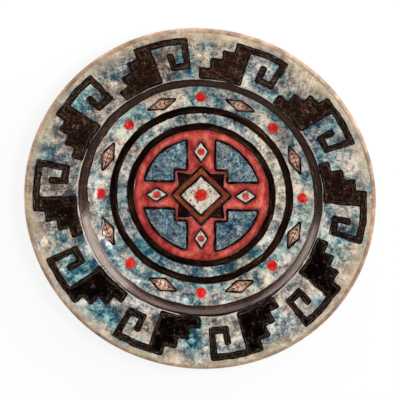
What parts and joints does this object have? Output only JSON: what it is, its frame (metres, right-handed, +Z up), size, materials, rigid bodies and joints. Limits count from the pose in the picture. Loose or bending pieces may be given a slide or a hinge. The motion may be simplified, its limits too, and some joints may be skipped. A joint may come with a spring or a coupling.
{
  "type": "pottery plate",
  "caption": "Round wide-rimmed pottery plate with a sunken well and foot ring, glazed face and painted slip border, bands and medallion.",
  "frame": {"origin": "middle of the plane that the foot ring rests on", "axes": "+Z up out of the plate's face along its axis of revolution; +Y towards the top of the medallion, +X to its right"},
  "size_m": [0.3, 0.3, 0.033],
  "materials": {
    "clay": "bare pinkish-tan fired clay, matt",
    "ground_coat": "mottled blue-grey, cream and teal under a clear glossy glaze",
    "iron_slip": "black-brown iron slip, glossy",
    "red_slip": "brushed terracotta-red slip, glossy",
    "bright_red_slip": "bright red slip, glossy",
    "sienna_slip": "red-brown slip, glossy",
    "rose_slip": "pinkish-tan slip, glossy",
    "cream_slip": "cream slip, glossy",
    "blue_slip": "speckled blue slip, glossy"
  },
  "bodies": {
    "root": {"plate_body": "clay", "foot_ring": "clay", "face_coat": "ground_coat", "wall_band": "iron_slip", "floor_ring": "iron_slip", "medallion_ring": "iron_slip", "rim_fret_01": "iron_slip", "rim_fret_02": "iron_slip", "rim_fret_03": "iron_slip", "rim_fret_04": "iron_slip", "rim_fret_05": "iron_slip", "rim_fret_06": "iron_slip", "rim_fret_07": "iron_slip", "rim_fret_08": "iron_slip", "rim_fret_09": "iron_slip", "rim_fret_10": "iron_slip", "floor_lozenge_01": "rose_slip", "floor_lozenge_02": "rose_slip", "floor_lozenge_03": "rose_slip", "floor_lozenge_04": "rose_slip", "floor_lozenge_05": "rose_slip", "floor_lozenge_06": "rose_slip", "floor_lozenge_07": "rose_slip", "floor_lozenge_08": "rose_slip", "floor_disc_01": "bright_red_slip", "floor_disc_02": "bright_red_slip", "floor_disc_03": "bright_red_slip", "floor_disc_04": "bright_red_slip", "floor_disc_05": "bright_red_slip", "floor_disc_06": "bright_red_slip", "floor_disc_07": "bright_red_slip", "floor_disc_08": "bright_red_slip", "medallion_cross": "red_slip", "medallion_panel_01": "blue_slip", "medallion_panel_02": "blue_slip", "medallion_panel_03": "blue_slip", "medallion_panel_04": "blue_slip", "arm_lozenge_01": "cream_slip", "arm_lozenge_02": "cream_slip", "arm_lozenge_03": "cream_slip", "arm_lozenge_04": "cream_slip", "centre_frame": "sienna_slip", "centre_field": "cream_slip", "centre_disc": "bright_red_slip"}
  },
  "joints": []
}
